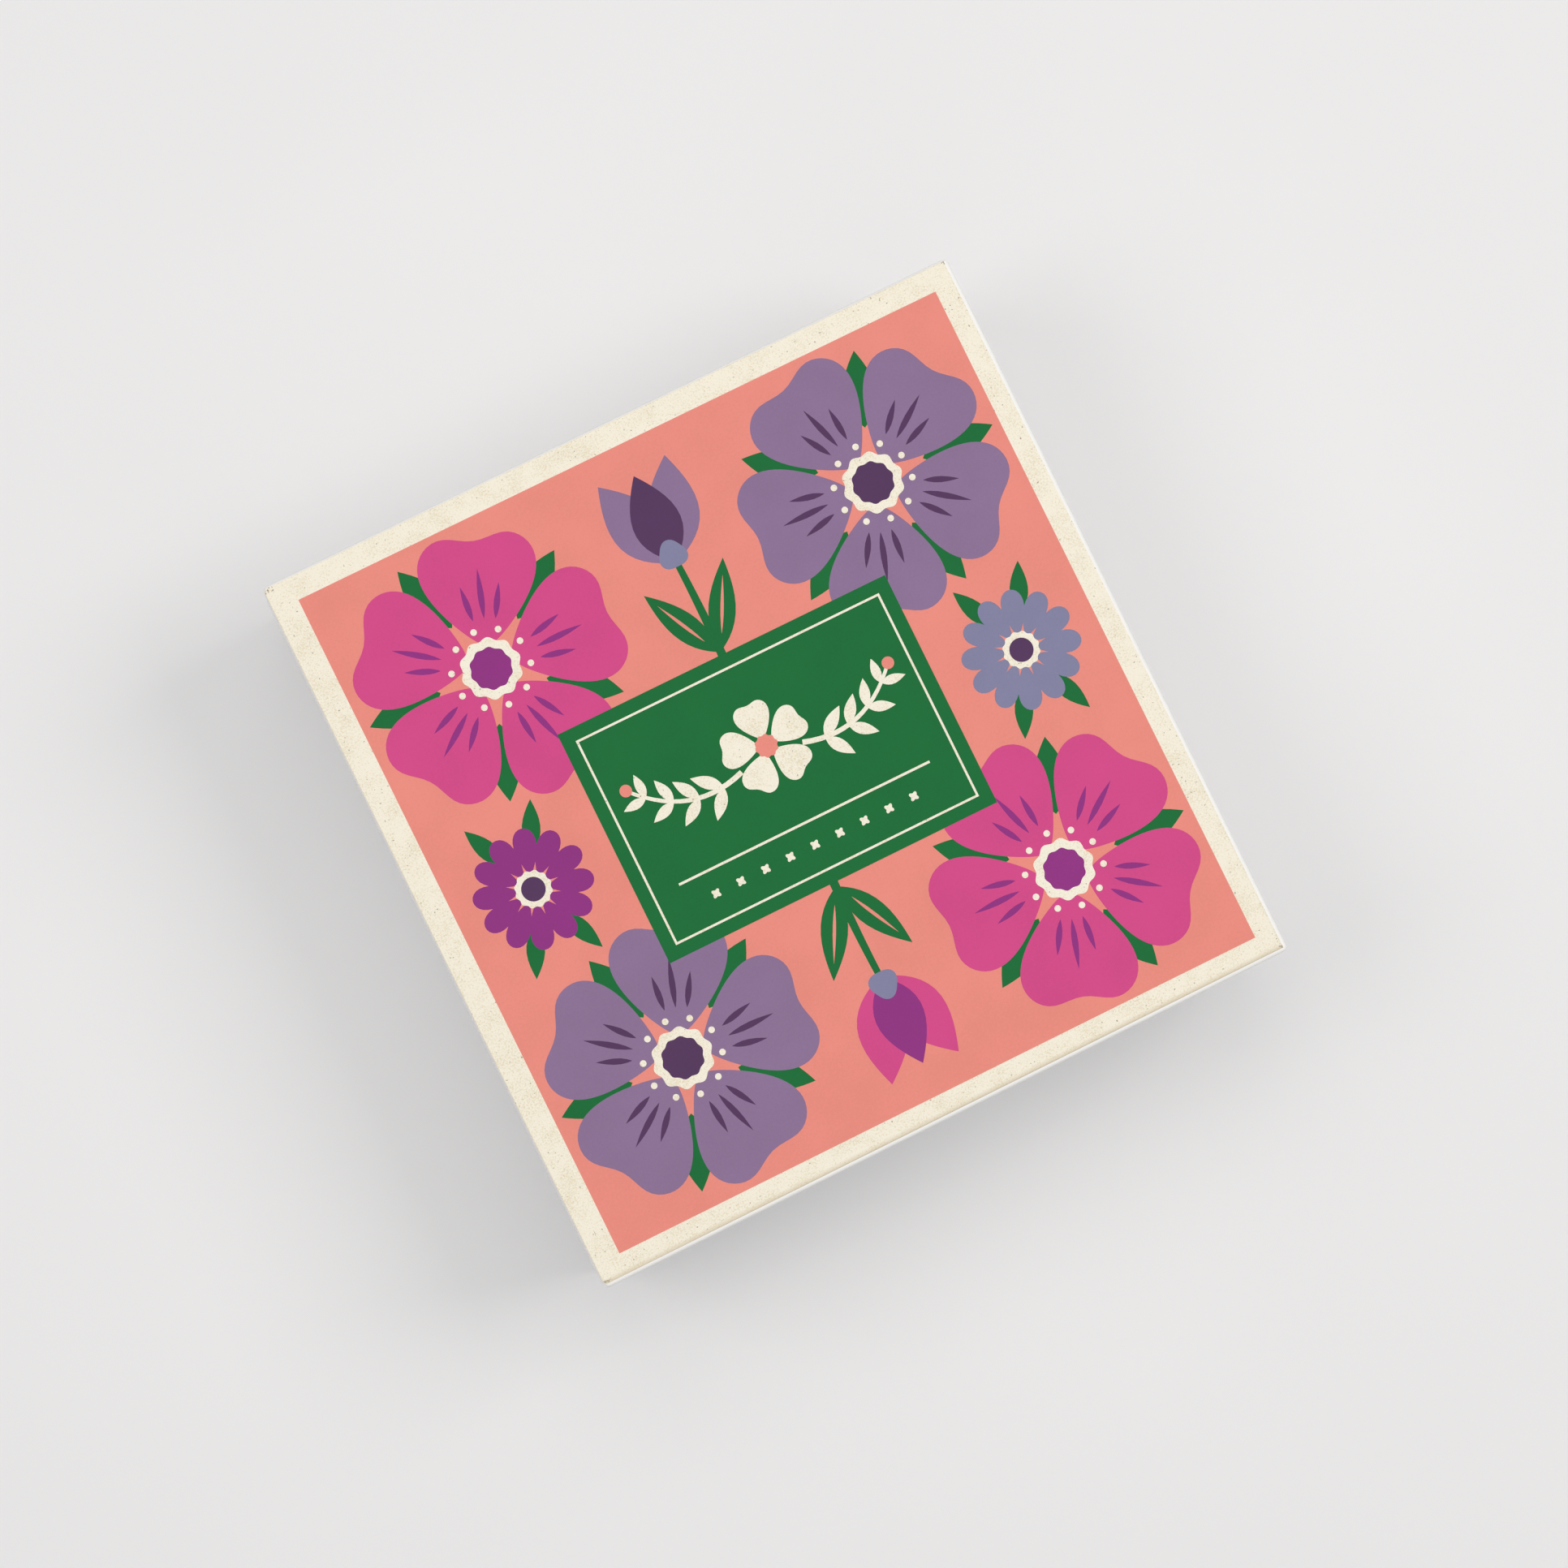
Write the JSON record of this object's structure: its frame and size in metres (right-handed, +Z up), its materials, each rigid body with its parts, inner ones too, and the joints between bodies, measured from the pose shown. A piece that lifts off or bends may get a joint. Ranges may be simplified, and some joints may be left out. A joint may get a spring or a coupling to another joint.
{
  "type": "flower press",
  "caption": "Boxed flower press: plywood boards with bolts and wing nuts, corrugated cards and blotting paper, in a tray with a printed lift-off lid.",
  "frame": {"origin": "middle of the tray's underside, on the surface that the box stands on", "axes": "+Z up; +X and +Y along the box's sides, +Y towards the print's upper edge in the picture"},
  "size_m": [0.18, 0.183, 0.056],
  "materials": {
    "tray_paper": "smooth white wrap over greyboard",
    "lid_paper": "smooth white wrap over greyboard",
    "print_paper": "uncoated speckled cream stock, printed",
    "plywood": "sanded birch plywood",
    "zinc_steel": "bright zinc plating",
    "kraft_card": "brown kraft corrugated board",
    "blotting_paper": "soft, thick, uncoated",
    "leaflet_paper": "smooth uncoated"
  },
  "bodies": {
    "tray": {"box_tray": "tray_paper"},
    "press_base": {"bottom_board": "plywood", "carriage_bolts": "zinc_steel"},
    "upper_board": {"top_board": "plywood", "washers": "zinc_steel"},
    "nut_1": {"wing_nut_1": "zinc_steel"},
    "nut_2": {"wing_nut_2": "zinc_steel"},
    "nut_3": {"wing_nut_3": "zinc_steel"},
    "nut_4": {"wing_nut_4": "zinc_steel"},
    "card_1_layer": {"card_1": "kraft_card"},
    "blotter_1_layer": {"blotter_1": "blotting_paper"},
    "blotter_2_layer": {"blotter_2": "blotting_paper"},
    "card_2_layer": {"card_2": "kraft_card"},
    "blotter_3_layer": {"blotter_3": "blotting_paper"},
    "blotter_4_layer": {"blotter_4": "blotting_paper"},
    "card_3_layer": {"card_3": "kraft_card"},
    "blotter_5_layer": {"blotter_5": "blotting_paper"},
    "blotter_6_layer": {"blotter_6": "blotting_paper"},
    "card_4_layer": {"card_4": "kraft_card"},
    "blotter_7_layer": {"blotter_7": "blotting_paper"},
    "blotter_8_layer": {"blotter_8": "blotting_paper"},
    "card_5_layer": {"card_5": "kraft_card"},
    "leaflet_sheet": {"leaflet": "leaflet_paper"},
    "lid": {"box_lid": "lid_paper", "lid_print": "print_paper"}
  },
  "joints": [
    {"name": "press_lift", "type": "slide", "parent": "tray", "child": "press_base", "axis": [0, 0, 1], "range_m": [0, 0.07]},
    {"name": "nut_1_spin", "type": "hinge", "parent": "upper_board", "child": "nut_1", "pos_m": [0.0675, 0.069, 0.0369], "axis": [0, 0, 1], "range_deg": [0, 3240]},
    {"name": "board_lift", "type": "slide", "parent": "press_base", "child": "upper_board", "axis": [0, 0, 1], "range_m": [0, 0.009]},
    {"name": "nut_2_spin", "type": "hinge", "parent": "upper_board", "child": "nut_2", "pos_m": [-0.0675, 0.069, 0.0369], "axis": [0, 0, 1], "range_deg": [0, 3240]},
    {"name": "nut_3_spin", "type": "hinge", "parent": "upper_board", "child": "nut_3", "pos_m": [-0.0675, -0.069, 0.0369], "axis": [0, 0, 1], "range_deg": [0, 3240]},
    {"name": "nut_4_spin", "type": "hinge", "parent": "upper_board", "child": "nut_4", "pos_m": [0.0675, -0.069, 0.0369], "axis": [0, 0, 1], "range_deg": [0, 3240]},
    {"name": "card_1_lift", "type": "slide", "parent": "press_base", "child": "card_1_layer", "axis": [0, 0, 1], "range_m": [0, 0.00064286]},
    {"name": "blotter_1_lift", "type": "slide", "parent": "press_base", "child": "blotter_1_layer", "axis": [0, 0, 1], "range_m": [0, 0.00129]},
    {"name": "blotter_2_lift", "type": "slide", "parent": "press_base", "child": "blotter_2_layer", "axis": [0, 0, 1], "range_m": [0, 0.00193]},
    {"name": "card_2_lift", "type": "slide", "parent": "press_base", "child": "card_2_layer", "axis": [0, 0, 1], "range_m": [0, 0.00257]},
    {"name": "blotter_3_lift", "type": "slide", "parent": "press_base", "child": "blotter_3_layer", "axis": [0, 0, 1], "range_m": [0, 0.00321]},
    {"name": "blotter_4_lift", "type": "slide", "parent": "press_base", "child": "blotter_4_layer", "axis": [0, 0, 1], "range_m": [0, 0.00386]},
    {"name": "card_3_lift", "type": "slide", "parent": "press_base", "child": "card_3_layer", "axis": [0, 0, 1], "range_m": [0, 0.0045]},
    {"name": "blotter_5_lift", "type": "slide", "parent": "press_base", "child": "blotter_5_layer", "axis": [0, 0, 1], "range_m": [0, 0.00514]},
    {"name": "blotter_6_lift", "type": "slide", "parent": "press_base", "child": "blotter_6_layer", "axis": [0, 0, 1], "range_m": [0, 0.00579]},
    {"name": "card_4_lift", "type": "slide", "parent": "press_base", "child": "card_4_layer", "axis": [0, 0, 1], "range_m": [0, 0.00643]},
    {"name": "blotter_7_lift", "type": "slide", "parent": "press_base", "child": "blotter_7_layer", "axis": [0, 0, 1], "range_m": [0, 0.00707]},
    {"name": "blotter_8_lift", "type": "slide", "parent": "press_base", "child": "blotter_8_layer", "axis": [0, 0, 1], "range_m": [0, 0.00771]},
    {"name": "card_5_lift", "type": "slide", "parent": "press_base", "child": "card_5_layer", "axis": [0, 0, 1], "range_m": [0, 0.00836]},
    {"name": "leaflet_lift", "type": "slide", "parent": "upper_board", "child": "leaflet_sheet", "axis": [0, 0, 1], "range_m": [0, 0.016]},
    {"name": "lid_lift", "type": "slide", "parent": "upper_board", "child": "lid", "axis": [0, 0, 1], "range_m": [0, 0.06]}
  ],
  "couplings": [
    {"joint": "nut_1_spin", "follows": "board_lift", "rad_per_m": 6283.2},
    {"joint": "nut_2_spin", "follows": "board_lift", "rad_per_m": 6283.2},
    {"joint": "nut_3_spin", "follows": "board_lift", "rad_per_m": 6283.2},
    {"joint": "nut_4_spin", "follows": "board_lift", "rad_per_m": 6283.2},
    {"joint": "card_1_lift", "follows": "board_lift", "ratio": 0.071428},
    {"joint": "blotter_1_lift", "follows": "board_lift", "ratio": 0.14286},
    {"joint": "blotter_2_lift", "follows": "board_lift", "ratio": 0.21429},
    {"joint": "card_2_lift", "follows": "board_lift", "ratio": 0.28571},
    {"joint": "blotter_3_lift", "follows": "board_lift", "ratio": 0.35714},
    {"joint": "blotter_4_lift", "follows": "board_lift", "ratio": 0.42857},
    {"joint": "card_3_lift", "follows": "board_lift", "ratio": 0.5},
    {"joint": "blotter_5_lift", "follows": "board_lift", "ratio": 0.57143},
    {"joint": "blotter_6_lift", "follows": "board_lift", "ratio": 0.64286},
    {"joint": "card_4_lift", "follows": "board_lift", "ratio": 0.71428},
    {"joint": "blotter_7_lift", "follows": "board_lift", "ratio": 0.78571},
    {"joint": "blotter_8_lift", "follows": "board_lift", "ratio": 0.85714},
    {"joint": "card_5_lift", "follows": "board_lift", "ratio": 0.92857}
  ]
}
